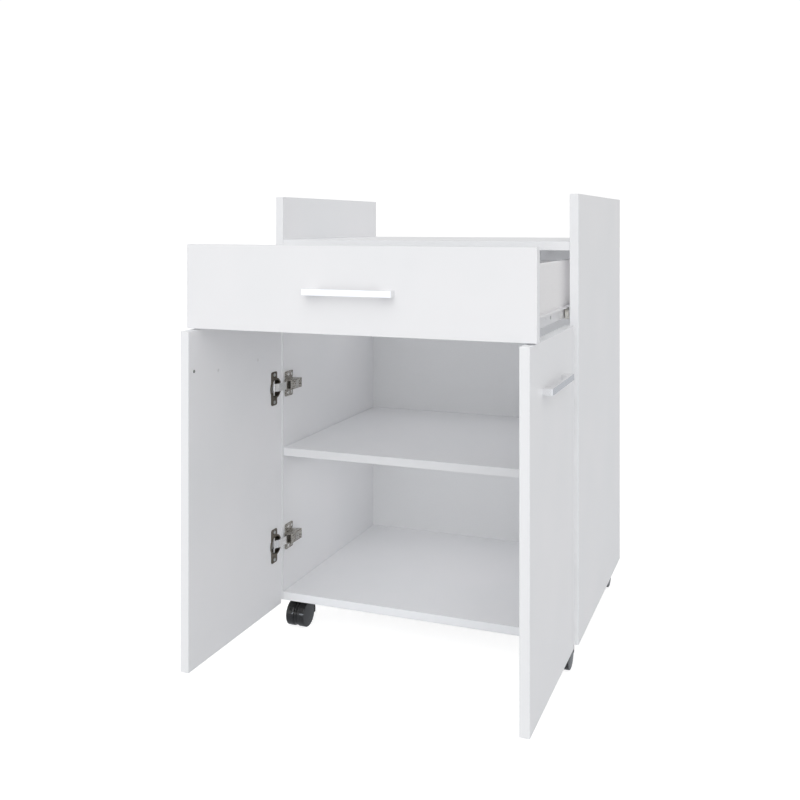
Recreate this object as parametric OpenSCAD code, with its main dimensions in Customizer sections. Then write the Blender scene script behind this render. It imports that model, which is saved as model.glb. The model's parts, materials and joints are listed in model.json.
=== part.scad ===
// Microwave cart: a white cabinet on four twin-wheel casters, with two hinged doors, one shelf,
// one drawer on roller runners and a worktop between raised side boards.
// Shown as at rest: both doors stand open at a right angle and the drawer is pulled out.

/* [Cabinet] */
// Width over the side boards
cab_w = 600; // [520:1:800]
// Depth of the side boards
cab_d = 442; // [430:1:600]
// Height of the side boards
side_h = 787; // [740:1:900]
// Thickness of the coated boards
board_t = 16; // [15:0.5:19]
// Height of the side boards above the worktop
upstand_h = 83.5; // [40:0.5:110]
// Height of the shelf's underside above the cabinet's lower edge
shelf_z = 281.5; // [200:0.5:340]
// Gap between the shelf and each side board
shelf_gap = 0.4; // [0.2:0.1:1.5]
// Thickness of the back panel
back_t = 3; // [2.5:0.5:5]
// Distance from the back panel to the rear edge of the side boards
back_inset = 15; // [8:0.5:30]
// Depth of the grooves that hold the back panel
groove_depth = 6; // [4:0.5:8]

/* [Doors] */
// Gap between the closed doors or drawer and the cabinet
front_gap = 2; // [1.8:0.1:4]
// Distance from a closed door's outer edge to the cabinet's side face
door_reveal = 0.5; // [0:0.1:1.5]
// Gap between the two closed doors
door_middle_gap = 2.5; // [2:0.1:5]
// Gap between the doors and the drawer front
door_top_gap = 2; // [1.5:0.1:5]
// Distance from an open door's outer face to the cabinet's side face
door_open_inset = 5.1; // [4.6:0.1:5.6]
// Gap between an open door's edge and the cabinet's front
door_open_gap = 15.5; // [15.2:0.1:15.8]

/* [Hinges] */
// Height of the lower hinges above the door's lower edge
hinge_low_z = 120; // [80:1:180]
// Distance of the upper hinges below the door's top edge
hinge_high_drop = 138.5; // [80:0.5:200]
// Distance from the door's edge to the middle of a hinge cup
cup_inset = 22; // [21.8:0.1:22.5]
// Outer diameter of a hinge cup
cup_d = 35; // [34:0.5:36]
// Depth of a hinge cup
cup_depth = 12.5; // [12:0.1:13]
// Wall of a hinge cup and its flange
cup_wall = 1.2; // [1:0.1:1.2]
// Length of a cup's flange along the door's edge
flange_l = 64; // [60:1:76]
// Width of the channel inside a hinge arm
arm_inner_w = 15.6; // [13:0.1:15.8]
// Diameter of the pin in a hinge cup
cup_pin_d = 3; // [2.4:0.1:3.4]
// Length of a hinge arm
arm_l = 41; // [40:1:56]
// Height of a hinge arm off the side board
arm_h = 17.9; // [17.9:0.1:19]
// Height of a hinge's mounting plate on the side board
mount_plate_h = 49; // [44:1:60]
// Depth of a hinge's mounting plate
mount_plate_l = 29; // [26:1:34]

/* [Drawer] */
// Height of the drawer's front board
drawer_front_h = 140; // [130:1:160]
// Distance from the top of the drawer front down from the worktop
drawer_front_drop = 3; // [0:0.5:10]
// How far the drawer stands open at rest
drawer_pull = 272; // [200:1:290]
// Thickness of the drawer's sides and back
drawer_side_t = 12; // [10:0.5:15]
// Height of the drawer's sides
drawer_side_h = 100; // [90:1:108]
// Length of the drawer's sides
drawer_side_l = 398; // [380:1:400]
// Height of the drawer's sides above the lower edge of its front
drawer_lift = 9; // [8:0.5:12]
// Thickness of the drawer's bottom
drawer_bottom_t = 3; // [2.5:0.5:4]
// Height of the drawer's bottom above the lower edge of its sides
drawer_bottom_z = 10; // [8:0.5:14]
// Gap beside the drawer for each runner
runner_gap = 12.7; // [12.5:0.1:13.5]
// Diameter of the runner rollers
roller_d = 21; // [20:0.5:22]
// Width of the runner rollers
roller_w = 7.6; // [6:0.1:8]

/* [Handles] */
// Length of a handle
handle_l = 152; // [145:0.5:170]
// Height of a handle
handle_h = 10; // [9.5:0.5:14]
// How far a handle stands out
handle_out = 16; // [14:0.5:30]
// Thickness of a handle's bar
handle_bar_t = 5; // [4:0.5:6]
// Distance between the two screws of a handle
handle_screw_gap = 128; // [120:1:132]
// Distance from the door's top edge down to the middle of its handle
door_handle_drop = 76; // [40:0.5:120]
// Distance from the drawer front's top edge down to the middle of its handle
drawer_handle_drop = 73; // [50:0.5:90]

/* [Casters] */
// Height of a caster
caster_h = 57; // [57:0.5:64]
// Diameter of a caster wheel
wheel_d = 48; // [46:0.5:50]
// Width of one caster wheel
wheel_w = 16; // [13:0.5:18]
// Gap between the two wheels of a caster
wheel_gap = 6; // [5:0.5:8]
// Distance from the swivel axis to the wheels' axle
trail = 20; // [18:0.5:22]
// Diameter of the wheels' axle
axle_d = 6; // [5:0.5:8]
// Side of a caster's square plate
plate_side = 36; // [34:1:40]
// Distance from the cabinet's side face to the casters' swivel axes
caster_inset = 38.5; // [37.5:0.5:60]
// Distance from the cabinet's front to the front casters' swivel axes
caster_inset_front = 48; // [46:0.5:70]

/* [Hidden] */
$fn = 64;
white = "whitesmoke";
steel = "silver";
dark_steel = "dimgray";
black = "#26272a";

// Clearances
bore_clear = 0.05;      // running clearance of pins in bores, on the radius
fit_clear = 0.1;        // clearance of fixed pins and panels in their holes
body_clear = 0.3;       // gap between parts that move past each other
eps = 0.01;             // overrun of cuts

// Cabinet
half_w = cab_w / 2;
side_x = half_w - board_t;                     // inner face of a side board
top_z = side_h - upstand_h;                    // worktop surface
under_z = top_z - board_t;                     // worktop underside
back_y = cab_d - back_inset - back_t;          // front face of the back panel
base_z = caster_h;                             // cabinet's lower edge above the floor

// Fronts, in the cabinet's frame: lower edge at z = 0, front edges at y = 0
drawer_front_z = top_z - drawer_front_drop - drawer_front_h;
door_h = drawer_front_z - door_top_gap;
door_w = half_w - door_reveal - door_middle_gap / 2;
door_out_x = half_w - door_open_inset;         // outer face of an open door
closed_face_y = -(front_gap + board_t);        // outer face of a closed front
hinge_high_z = door_h - hinge_high_drop;
hinge_heights = [hinge_low_z, hinge_high_z];

// Door pivot: the one point that the open and the closed door share
pivot_sum = -door_open_gap - closed_face_y;
pivot_diff = door_open_inset - door_reveal;
pivot_u = (pivot_sum + pivot_diff) / 2;
pivot_x = door_out_x - (pivot_sum - pivot_diff) / 2;
pivot_y = -door_open_gap - pivot_u;

// Hinges
cup_r = cup_d / 2;
cup_inner_r = cup_r - cup_wall;
cup_pin_lift = 12.5;                           // pin above the door's outer face
cup_pin_x = door_out_x - cup_pin_lift;
cup_pin_y = -door_open_gap - cup_inset;
cup_eye_r = 2.8;                               // link's eye on the cup pin
link_t = 1.6;
link_knee = [-6, 8];                           // link's bend, from the cup pin
link_tail = [-10, 45.5];                       // link's end, from the cup pin
mouth_w = arm_inner_w + 0.4;                   // cut in the cup's flange for the link
flange_w = 20.5;
flange_from = 18;                              // flange's near side, from the door's edge
flange_screw_z = 26;
flange_screw_u = flange_from + flange_w / 2;
mount_plate_t = 2;
mount_plate_y = 6;
arm_y = 1;
arm_wall = 1.4;
link_w = arm_inner_w - 2 * body_clear;
plate_hole_z = 17.5;
plate_hole_y = 10;                             // holes, from the plate's front edge
plate_slot_y = 23;
plate_round = 3;                               // round corners of the plate's wings
flange_round = 4;                              // round corners of the cup's flange
arm_slant = 20;                                // angle of the arm's rear end
arm_screw_y = [10, 31];                        // adjusting screws, from the arm's front
arm_rib_y = [17 : 3 : 26];                     // ribs between the adjusting screws

// Screws: shank radius, head radius, head height
small_screw = [1.6, 3.2, 1.5];
flat_screw = [1.6, 3.2, 0.9];
plate_screw = [1.9, 3.4, 1.4];
handle_screw = [2, 3.1, 1.6];
handle_thread_l = 8;
handle_foot_l = handle_l - handle_screw_gap;   // each foot has its screw in the middle
handle_grip_l = handle_l - 2 * handle_foot_l;
plate_screw_l = 12;
cup_screw_l = 13;
runner_screw_l = 11;                           // runner screws in a side board
caster_screw_l = 14;
back_screw_l = 27;                             // screws into the drawer's back
hole_end = 1;                                  // a blind hole goes on past its screw

// Drawer, at rest
drawer_face_y = closed_face_y - drawer_pull;
box_y = drawer_face_y + board_t;               // front end of the drawer's sides
box_z = drawer_front_z + drawer_lift;
box_x = side_x - runner_gap;                   // outer face of a drawer side
box_in_x = box_x - drawer_side_t;
drawer_groove = 5;
drawer_back_drop = 4;                          // drawer's back below its sides
bottom_z = box_z + drawer_bottom_z;

// Runners
rail_t = 1;
member_h = 19;                                 // drawer member's flange above its foot
member_top_z = box_z + member_h;
member_flange_x = side_x - 3;                  // outer edge of the drawer member's flange
member_foot_w = 12;
roller_r = roller_d / 2;
roller_pin_r = 3;
roller_inset = 14;                             // roller axle, from the end of its member
flange_cut = roller_inset + roller_r + 2;
channel_top_z = member_top_z + body_clear * 2;
drawer_roller_z = channel_top_z - body_clear - roller_r;
channel_low_z = drawer_roller_z - roller_r - body_clear;
cab_roller_z = member_top_z - rail_t - body_clear - roller_r;
cab_roller_x = side_x - rail_t - 1.6 - roller_w;   // inner face of the cabinet's roller
drawer_roller_x = box_x + rail_t + 0.6;            // inner face of the drawer's roller
channel_flange_x = box_x + rail_t + 0.8;
rail_l = drawer_side_l;
rail_screws = [37, 180, 340];                  // from the front end of each member
rail_spare_hole = 149;                         // unused hole in the drawer member
rail_screw_in = drawer_side_t - drawer_groove - 0.7;   // screw's depth in a drawer side

// Casters
wheel_r = wheel_d / 2;
wheel_clear = 1;
hood_r = wheel_r + wheel_clear;
hood_t = 2.5;
hood_w = 2 * wheel_w + wheel_gap;
web_t = wheel_gap - 1;
arch_r = 11;
hood_far = 2.5 * wheel_r;                      // well outside the hood
hood_lean = 5;                                 // hood's front edge leans by this over its reach
hood_drop = 14;                                // and its rear edge drops by this
plate_t = 2;
caster_plate_round = 4;
king_pin_r = 4;
king_pin_l = 8;
boss_r = 9;
boss_top = caster_h - plate_t - body_clear;
axle_l = hood_w - 8;
tread_round = 2.4;
rim_w = 3;
rim_depth = 0.6;
caster_screw_at = plate_side / 2 - 5;
caster_spots = [
    [-1, caster_inset_front, -1],
    [1, caster_inset_front, -1],
    [-1, cab_d - caster_inset, 1],
    [1, cab_d - caster_inset, 1]
];

// Place of the whole cart: origin on the floor, in the middle of its outline
reach_front = max(-drawer_face_y + handle_out, door_open_gap + door_w);
reach_back = max(cab_d, cab_d - caster_inset + trail + wheel_r);
shift_y = (reach_front - reach_back) / 2;

// Fittings that join the boards
cam_r = 7.4;
cam_h = 12;
cam_inset = 24;
bolt_r = 2.5;
bolt_head_r = 3.3;
bolt_in_side = 11;
dowel_r = 4;
dowel_in_side = 11;
dowel_l = 30;
cam_from_plate = 18;                           // cam's middle, from the caster plate
dowel_from_cam = 32;
cam_y = [caster_inset_front + plate_side / 2 + cam_from_plate,
         cab_d - caster_inset - plate_side / 2 - cam_from_plate];
dowel_y = [cam_y[0] + dowel_from_cam, cam_y[1] - dowel_from_cam];
shelf_pin_r = 2.5;
shelf_pin_in = 8;
shelf_pin_edge = 37;                           // from the shelf's front and rear edges
shelf_pin_y = [shelf_pin_edge, back_y - shelf_pin_edge];

// ---------- helpers ----------

// Cabinet frame: everything above the casters
module in_cabinet() {
    translate([0, shift_y, base_z]) children();
}

// A part for one side, drawn for the right (s = 1) and mirrored for the left (s = -1)
module on_side(s) {
    if (s > 0) children();
    else mirror([1, 0, 0]) children();
}

module both_sides() {
    on_side(1) children();
    on_side(-1) children();
}

// A box from one corner to the opposite one
module block(low, high) {
    translate(low) cube(high - low);
}

// A round bar along +x, +y or +z from a point
module bar_x(at, r, l) {
    translate(at) rotate([0, 90, 0]) cylinder(r = r, h = l);
}

module bar_y(at, r, l) {
    translate(at) rotate([-90, 0, 0]) cylinder(r = r, h = l);
}

module bar_z(at, r, l) {
    translate(at) cylinder(r = r, h = l);
}

// A flat plate that stands on z = 0, w by l, t thick, with round corners
module round_plate(w, l, t, r) {
    block([-w / 2 + r, -l / 2, 0], [w / 2 - r, l / 2, t]);
    block([-w / 2, -l / 2 + r, 0], [w / 2, l / 2 - r, t]);
    for (i = [-1, 1]) for (j = [-1, 1]) bar_z([i * (w / 2 - r), j * (l / 2 - r), 0], r, t);
}

// A screw whose head's underside is at the origin and whose shank runs along -z
module screw(size, shank_l) {
    difference() {
        union() {
            cylinder(r = size[1], h = size[2] * 0.6);
            translate([0, 0, size[2] * 0.6]) cylinder(r1 = size[1], r2 = size[1] * 0.8, h = size[2] * 0.4);
            translate([0, 0, -shank_l]) cylinder(r = size[0], h = shank_l + eps);
        }
        // cross recess
        for (turn = [0, 90]) {
            rotate([0, 0, turn]) translate([-size[1] * 0.55, -0.35, size[2] * 0.45])
                cube([size[1] * 1.1, 0.7, size[2]]);
        }
    }
}

// ---------- cabinet boards ----------

module side_board() {
    color(white) difference() {
        block([side_x, 0, 0], [half_w, cab_d, side_h]);
        // groove for the back panel
        block([side_x - eps, back_y - fit_clear, board_t - groove_depth],
              [side_x + groove_depth, back_y + back_t + fit_clear, under_z + groove_depth]);
        // bores for the cam bolts and dowels of the bottom and the worktop
        for (z = [board_t / 2, under_z + board_t / 2]) {
            for (y = cam_y) bar_x([side_x - eps, y, z], bolt_r + fit_clear, bolt_in_side + fit_clear);
            for (y = dowel_y) bar_x([side_x - eps, y, z], dowel_r + fit_clear, dowel_in_side + fit_clear);
        }
        // bores for the shelf pins
        for (y = shelf_pin_y) {
            bar_x([side_x - eps, y, shelf_z - shelf_pin_r], shelf_pin_r + fit_clear, shelf_pin_in + fit_clear);
        }
        // screw holes for the hinge plates, the runner and their screws
        for (z = hinge_heights) for (k = [-1, 1]) {
            bar_x([side_x - eps, mount_plate_y + plate_hole_y, z + k * plate_hole_z],
                  plate_screw[0] + fit_clear, plate_screw_l - mount_plate_t + hole_end);
        }
        for (y = rail_screws) {
            bar_x([side_x - eps, y + front_gap, cab_roller_z],
                  small_screw[0] + fit_clear, runner_screw_l - rail_t + hole_end);
        }
    }
}

module side_left() { in_cabinet() on_side(-1) side_board(); }
module side_right() { in_cabinet() side_board(); }

// A board between the sides, with its cam and dowel bores; cams open downwards
module cross_board(z) {
    difference() {
        block([-side_x, 0, z], [side_x, cab_d, z + board_t]);
        both_sides() {
            for (y = cam_y) {
                bar_z([side_x - cam_inset, y, z - eps], cam_r + fit_clear, cam_h + fit_clear);
                bar_x([side_x - cam_inset, y, z + board_t / 2], bolt_head_r + fit_clear, cam_inset + eps);
            }
            for (y = dowel_y) {
                bar_x([side_x - dowel_l + dowel_in_side - fit_clear, y, z + board_t / 2],
                      dowel_r + fit_clear, dowel_l);
            }
        }
    }
}

module worktop() {
    color(white) in_cabinet() difference() {
        cross_board(under_z);
        // groove for the back panel
        block([-side_x - eps, back_y - fit_clear, under_z - eps],
              [side_x + eps, back_y + back_t + fit_clear, under_z + groove_depth]);
    }
}

module bottom_panel() {
    color(white) in_cabinet() difference() {
        cross_board(0);
        block([-side_x - eps, back_y - fit_clear, board_t - groove_depth],
              [side_x + eps, back_y + back_t + fit_clear, board_t + eps]);
        // pilot holes for the caster screws
        for (spot = caster_spots) for (i = [-1, 1]) for (j = [-1, 1]) {
            bar_z([spot[0] * (half_w - caster_inset) + i * caster_screw_at,
                   spot[1] + j * caster_screw_at, -eps],
                  small_screw[0] + fit_clear, caster_screw_l - plate_t + hole_end / 2);
        }
    }
}

module shelf() {
    color(white) in_cabinet()
        block([-side_x + shelf_gap, 0, shelf_z], [side_x - shelf_gap, back_y - fit_clear, shelf_z + board_t]);
}

module back_panel() {
    in = groove_depth - 3 * fit_clear;
    color(white) in_cabinet()
        block([-side_x - in, back_y, board_t - in], [side_x + in, back_y + back_t, under_z + in]);
}

// ---------- board fittings ----------

module cam_locks() {
    color(steel) in_cabinet() both_sides() for (z = [0, under_z]) for (y = cam_y) {
        difference() {
            bar_z([side_x - cam_inset, y, z], cam_r, cam_h);
            // room for the bolt's head
            bar_x([side_x - cam_inset - 1, y, z + board_t / 2], bolt_head_r + fit_clear, cam_inset);
            // screwdriver slot
            block([side_x - cam_inset - 4, y - 0.6, z - eps], [side_x - cam_inset + 4, y + 0.6, z + 1.5]);
        }
    }
}

module cam_bolts() {
    color(steel) in_cabinet() both_sides() for (z = [0, under_z]) for (y = cam_y) {
        bar_x([side_x - cam_inset, y, z + board_t / 2], bolt_r, cam_inset + bolt_in_side);
        bar_x([side_x - cam_inset, y, z + board_t / 2], bolt_head_r, 3);
    }
}

module dowels() {
    color("burlywood") in_cabinet() both_sides() for (z = [0, under_z]) for (y = dowel_y) {
        bar_x([side_x - dowel_l + dowel_in_side, y, z + board_t / 2], dowel_r, dowel_l);
    }
}

module shelf_pins() {
    color(steel) in_cabinet() both_sides() for (y = shelf_pin_y) {
        bar_x([side_x - shelf_pin_in, y, shelf_z - shelf_pin_r], shelf_pin_r, 2 * shelf_pin_in);
    }
}

// ---------- hinges ----------

module hinge_plate() {
    x0 = side_x - mount_plate_t;
    y0 = mount_plate_y;
    difference() {
        translate([x0, y0 + mount_plate_l / 2, 0]) rotate([0, 90, 0])
            round_plate(mount_plate_h, mount_plate_l, mount_plate_t, plate_round);
        // waists between the wings and the saddle
        for (k = [-1, 1]) for (y = [y0, y0 + mount_plate_l]) {
            bar_x([x0 - eps, y, k * (arm_inner_w / 2 + arm_wall + 2)], 2, mount_plate_t + 2 * eps);
        }
        for (k = [-1, 1]) {
            bar_x([x0 - eps, y0 + plate_hole_y, k * plate_hole_z], plate_screw[0] + fit_clear, mount_plate_t + 1);
            block([x0 - eps, y0 + plate_slot_y - 1.5, k * plate_hole_z - 3],
                  [side_x + eps, y0 + plate_slot_y + 1.5, k * plate_hole_z + 3]);
        }
    }
}

module hinge_plates() {
    color(dark_steel) in_cabinet() both_sides() for (z = hinge_heights) translate([0, 0, z]) hinge_plate();
}

// Channel-shaped arm: its open side faces the mounting plate, and the link's end moves inside it
module hinge_arm() {
    x0 = side_x - arm_h;
    x1 = side_x - mount_plate_t;
    in = arm_inner_w / 2;
    out = in + arm_wall;
    difference() {
        block([x0, arm_y, -out], [x1, arm_y + arm_l, out]);
        block([x0 + 1.5, arm_y - eps, -in], [x1 + eps, arm_y + arm_l + eps, in]);
        // slanted rear end
        translate([x0, arm_y + arm_l, 0]) rotate([0, 0, -arm_slant])
            block([-arm_h / 2, 0, -out - 1], [2 * arm_h, arm_h, out + 1]);
    }
    // heads of the two adjusting screws and the ribs between them
    for (y = arm_screw_y) bar_x([x0 - 1, arm_y + y, 0], 3, 1 + eps);
    for (y = arm_rib_y) block([x0 - 0.6, arm_y + y, -out + 1.5], [x0 + eps, arm_y + y + 1.4, out - 1.5]);
}

module hinge_arms() {
    color(dark_steel) in_cabinet() both_sides() for (z = hinge_heights) translate([0, 0, z]) hinge_arm();
}

module hinge_plate_screws() {
    color(steel) in_cabinet() both_sides() for (z = hinge_heights) for (k = [-1, 1]) {
        translate([side_x - mount_plate_t, mount_plate_y + plate_hole_y, z + k * plate_hole_z])
            rotate([0, -90, 0]) screw(plate_screw, plate_screw_l);
    }
}

// Pressed cup with its flange and the pin across it; the door's edge is at u = 0 and runs along -y
module hinge_cup() {
    face = door_out_x - board_t;               // door's inner face
    edge = -door_open_gap;
    ring_r = cup_r + 2;
    translate([face, edge, 0]) {
        difference() {
            union() {
                translate([-cup_wall, -cup_inset, 0]) bar_x([0, 0, 0], ring_r, cup_wall);
                translate([-cup_wall, -flange_screw_u, 0]) rotate([0, 90, 0])
                    round_plate(flange_l, flange_w, cup_wall, flange_round);
                bar_x([-cup_wall / 2, -cup_inset, 0], cup_r - fit_clear, cup_depth + cup_wall / 2 - fit_clear);
            }
            bar_x([-cup_wall - eps, -cup_inset, 0], cup_inner_r, cup_depth);
            // mouth for the link
            block([-cup_wall - eps, -cup_inset + 10, -mouth_w / 2], [eps / 2, 0, mouth_w / 2]);
            for (k = [-1, 1]) {
                bar_x([-cup_wall - eps, -flange_screw_u, k * flange_screw_z], small_screw[0] + fit_clear, 3);
            }
        }
    }
    bar_z([cup_pin_x, cup_pin_y, -cup_inner_r - cup_wall / 2], cup_pin_d / 2, 2 * cup_inner_r + cup_wall);
}

module hinge_cups(s) {
    color(dark_steel) in_cabinet() on_side(s) for (z = hinge_heights) translate([0, 0, z]) hinge_cup();
}

module hinge_cups_left() { hinge_cups(-1); }
module hinge_cups_right() { hinge_cups(1); }

module cup_screws(s) {
    color(steel) in_cabinet() on_side(s) for (z = hinge_heights) for (k = [-1, 1]) {
        translate([door_out_x - board_t - cup_wall, -door_open_gap - flange_screw_u, z + k * flange_screw_z])
            rotate([0, -90, 0]) screw(small_screw, cup_screw_l);
    }
}

module cup_screws_left() { cup_screws(-1); }
module cup_screws_right() { cup_screws(1); }

// A strip of sheet metal between two points of a plan view
module strip(from, to) {
    d = to - from;
    translate(from) rotate(atan2(d[1], d[0])) translate([-link_t / 2, -link_t / 2])
        square([norm(d) + link_t, link_t]);
}

// Cranked link: it turns on the cup's pin and its tail slides in the arm
module hinge_link() {
    translate([cup_pin_x, cup_pin_y, -link_w / 2]) linear_extrude(link_w) difference() {
        union() {
            circle(cup_eye_r);
            strip([0, 0], link_knee);
            strip(link_knee, link_tail);
        }
        circle(cup_pin_d / 2 + bore_clear);
    }
}

module hinge_links(s) {
    color(steel) in_cabinet() on_side(s) for (z = hinge_heights) translate([0, 0, z]) hinge_link();
}

module hinge_links_left() { hinge_links(-1); }
module hinge_links_right() { hinge_links(1); }

// ---------- handles ----------

// Bar with a foot at each end, on z = 0, its length along x and its height along y
module handle() {
    color("gainsboro") difference() {
        block([-handle_l / 2, -handle_h / 2, 0], [handle_l / 2, handle_h / 2, handle_out]);
        // room for the fingers
        block([-handle_grip_l / 2, -handle_h / 2 - 1, -1],
              [handle_grip_l / 2, handle_h / 2 + 1, handle_out - handle_bar_t]);
        for (k = [-1, 1]) {
            bar_z([k * handle_screw_gap / 2, 0, -eps], handle_screw[0] + fit_clear, handle_thread_l + hole_end);
        }
    }
}

// Two screws that come through a board from behind, with their heads sunk in it
module handle_screw_pair() {
    color(steel) for (k = [-1, 1]) {
        translate([k * handle_screw_gap / 2, 0, -board_t + handle_screw[2]]) rotate([180, 0, 0])
            screw(handle_screw, board_t - handle_screw[2] + handle_thread_l);
    }
}

// Bores for the two screws and their heads, through a board behind the handle
module handle_bores() {
    for (k = [-1, 1]) {
        bar_z([k * handle_screw_gap / 2, 0, -board_t - 1], handle_screw[0] + fit_clear, board_t + 2);
        bar_z([k * handle_screw_gap / 2, 0, -board_t - 1], handle_screw[1] + fit_clear, handle_screw[2] + 1);
    }
}

// Place of a handle on an open door's outer face, right side
module at_door_handle() {
    translate([door_out_x, -door_open_gap - door_w / 2, door_h - door_handle_drop])
        rotate([90, 0, 90]) children();
}

// Place of the handle on the drawer's front
module at_drawer_handle() {
    translate([0, drawer_face_y, drawer_front_z + drawer_front_h - drawer_handle_drop])
        rotate([90, 0, 0]) children();
}

// ---------- doors ----------

module door() {
    color(white) difference() {
        block([door_out_x - board_t, -door_open_gap - door_w, 0], [door_out_x, -door_open_gap, door_h]);
        for (z = hinge_heights) {
            bar_x([door_out_x - board_t - eps, -door_open_gap - cup_inset, z], cup_r, cup_depth + eps);
            for (k = [-1, 1]) {
                bar_x([door_out_x - board_t - eps, -door_open_gap - flange_screw_u, z + k * flange_screw_z],
                      small_screw[0] + fit_clear, cup_screw_l - cup_wall + hole_end / 2);
            }
        }
        at_door_handle() handle_bores();
    }
}

module door_left() { in_cabinet() on_side(-1) door(); }
module door_right() { in_cabinet() door(); }
module door_handle_left() { in_cabinet() on_side(-1) at_door_handle() handle(); }
module door_handle_right() { in_cabinet() at_door_handle() handle(); }
module handle_screws_left() { in_cabinet() on_side(-1) at_door_handle() handle_screw_pair(); }
module handle_screws_right() { in_cabinet() at_door_handle() handle_screw_pair(); }

// ---------- drawer ----------

module drawer_front() {
    color(white) in_cabinet() difference() {
        block([-half_w + door_reveal, drawer_face_y, drawer_front_z],
              [half_w - door_reveal, box_y, drawer_front_z + drawer_front_h]);
        // groove for the bottom
        block([-box_in_x - drawer_groove, box_y - drawer_groove, bottom_z - fit_clear],
              [box_in_x + drawer_groove, box_y + eps, bottom_z + drawer_bottom_t + fit_clear]);
        at_drawer_handle() handle_bores();
    }
}

module drawer_side() {
    color(white) difference() {
        block([box_in_x, box_y, box_z], [box_x, box_y + drawer_side_l, box_z + drawer_side_h]);
        block([box_in_x - eps, box_y - eps, bottom_z - fit_clear],
              [box_in_x + drawer_groove, box_y + drawer_side_l + eps, bottom_z + drawer_bottom_t + fit_clear]);
        drawer_screw_holes();
    }
}

// Bores of the runner's screws and of the two screws into the drawer's back
module drawer_screw_holes() {
    for (y = rail_screws) {
        bar_x([box_x - rail_screw_in - 0.4, box_y + y, box_z + member_h / 2],
              flat_screw[0] + fit_clear, rail_screw_in + 1);
    }
    for (z = drawer_back_screws) {
        bar_x([box_in_x - 1, drawer_back_y + drawer_side_t / 2, z], flat_screw[0] + fit_clear, drawer_side_t + 2);
    }
}

drawer_back_y = box_y + drawer_side_l - drawer_side_t - 6;
drawer_back_z = bottom_z + drawer_bottom_t + fit_clear;
drawer_back_top = box_z + drawer_side_h - drawer_back_drop;
drawer_back_screws = [drawer_back_z + 18, drawer_back_top - 14];

module drawer_side_left() { in_cabinet() on_side(-1) drawer_side(); }
module drawer_side_right() { in_cabinet() drawer_side(); }

module drawer_back() {
    color(white) in_cabinet() difference() {
        block([-box_in_x, drawer_back_y, drawer_back_z], [box_in_x, drawer_back_y + drawer_side_t, drawer_back_top]);
        both_sides() for (z = drawer_back_screws) {
            bar_x([box_x - back_screw_l - hole_end, drawer_back_y + drawer_side_t / 2, z],
                  flat_screw[0] + fit_clear, back_screw_l);
        }
    }
}

module drawer_bottom() {
    in = drawer_groove - 3 * fit_clear;
    color(white) in_cabinet()
        block([-box_in_x - in, box_y - in, bottom_z],
              [box_in_x + in, drawer_back_y + drawer_side_t, bottom_z + drawer_bottom_t]);
}

module drawer_handle() { in_cabinet() at_drawer_handle() handle(); }
module drawer_handle_screws() { in_cabinet() at_drawer_handle() handle_screw_pair(); }

module drawer_screws() {
    color(steel) in_cabinet() both_sides() {
        for (y = rail_screws) {
            translate([box_x + rail_t, box_y + y, box_z + member_h / 2]) rotate([0, 90, 0])
                screw(flat_screw, rail_t + rail_screw_in);
        }
        for (z = drawer_back_screws) {
            translate([box_x, drawer_back_y + drawer_side_t / 2, z]) rotate([0, 90, 0])
                screw(flat_screw, back_screw_l);
        }
    }
}

// ---------- runners ----------

// Drawer member: foot under the side, web beside it, flange that rides on the cabinet's roller
module drawer_runner() {
    y1 = box_y + rail_l;
    roller_y = y1 - roller_inset;
    color(white) difference() {
        union() {
            block([box_x, box_y, box_z - rail_t], [box_x + rail_t, y1, member_top_z]);
            block([box_x - member_foot_w, box_y, box_z - rail_t], [box_x + eps, y1, box_z]);
            block([box_x, box_y, member_top_z - rail_t], [member_flange_x, y1 - flange_cut, member_top_z]);
            bar_x([box_x, roller_y, drawer_roller_z], roller_pin_r, rail_t + 0.6 + roller_w + 0.4);
        }
        for (y = concat(rail_screws, [rail_spare_hole])) {
            bar_x([box_x - eps, box_y + y, box_z + member_h / 2], flat_screw[0] + fit_clear, rail_t + 2 * eps);
        }
    }
}

module drawer_runner_left() { in_cabinet() on_side(-1) drawer_runner(); }
module drawer_runner_right() { in_cabinet() drawer_runner(); }

// Cabinet member: channel for the drawer's roller, with its own roller at the front
module cabinet_runner() {
    y0 = front_gap;
    color(white) difference() {
        union() {
            block([side_x - rail_t, y0, channel_low_z - rail_t], [side_x, y0 + rail_l, channel_top_z + rail_t]);
            block([channel_flange_x, y0, channel_top_z], [side_x, y0 + rail_l, channel_top_z + rail_t]);
            block([channel_flange_x, y0 + flange_cut, channel_low_z - rail_t], [side_x, y0 + rail_l, channel_low_z]);
            bar_x([cab_roller_x - 0.4, y0 + roller_inset, cab_roller_z], roller_pin_r,
                  side_x - rail_t / 2 - cab_roller_x + 0.4);
        }
        for (y = rail_screws) {
            bar_x([side_x - rail_t - eps, y0 + y, cab_roller_z], small_screw[0] + fit_clear, rail_t + 2 * eps);
        }
    }
}

module cabinet_runner_left() { in_cabinet() on_side(-1) cabinet_runner(); }
module cabinet_runner_right() { in_cabinet() cabinet_runner(); }

module cabinet_runner_screws() {
    color(steel) in_cabinet() both_sides() for (y = rail_screws) {
        translate([side_x - rail_t, front_gap + y, cab_roller_z]) rotate([0, -90, 0])
            screw(flat_screw, runner_screw_l);
    }
}

// Roller with a shallow groove round its tread
module roller(at) {
    color("ivory") translate(at) rotate([0, 90, 0]) difference() {
        cylinder(r = roller_r, h = roller_w);
        translate([0, 0, -eps]) cylinder(r = roller_pin_r + bore_clear, h = roller_w + 2 * eps);
        for (z = [-eps, roller_w - 0.6]) {
            translate([0, 0, z]) difference() {
                cylinder(r = roller_r - 2, h = 0.6 + eps);
                cylinder(r = roller_pin_r + 2, h = 0.6 + eps);
            }
        }
    }
}

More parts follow.
